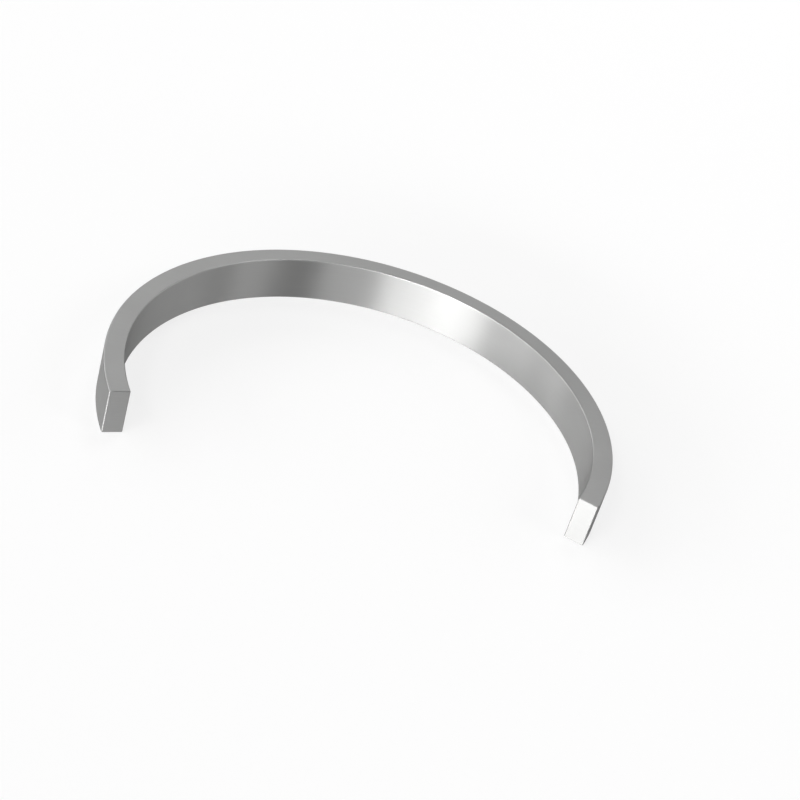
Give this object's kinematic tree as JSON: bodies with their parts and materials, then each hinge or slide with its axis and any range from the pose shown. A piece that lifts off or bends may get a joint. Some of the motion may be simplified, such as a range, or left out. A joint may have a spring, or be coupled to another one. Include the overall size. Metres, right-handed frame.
{
  "type": "locating ring",
  "caption": "Open C-shaped steel ring of rectangular section that fills the spare width beside a bearing in its split housing and so fixes it along the shaft.",
  "frame": {"origin": "on the ring's axis, at its lower side face", "axes": "+Z along the ring's axis, from the lower side face to the upper one; the opening between the cut ends faces -Y"},
  "size_m": [0.1, 0.0691, 0.0095],
  "materials": {
    "ground_steel": "fine ground, bright"
  },
  "bodies": {
    "root": {"locating_ring": "ground_steel"}
  },
  "joints": []
}
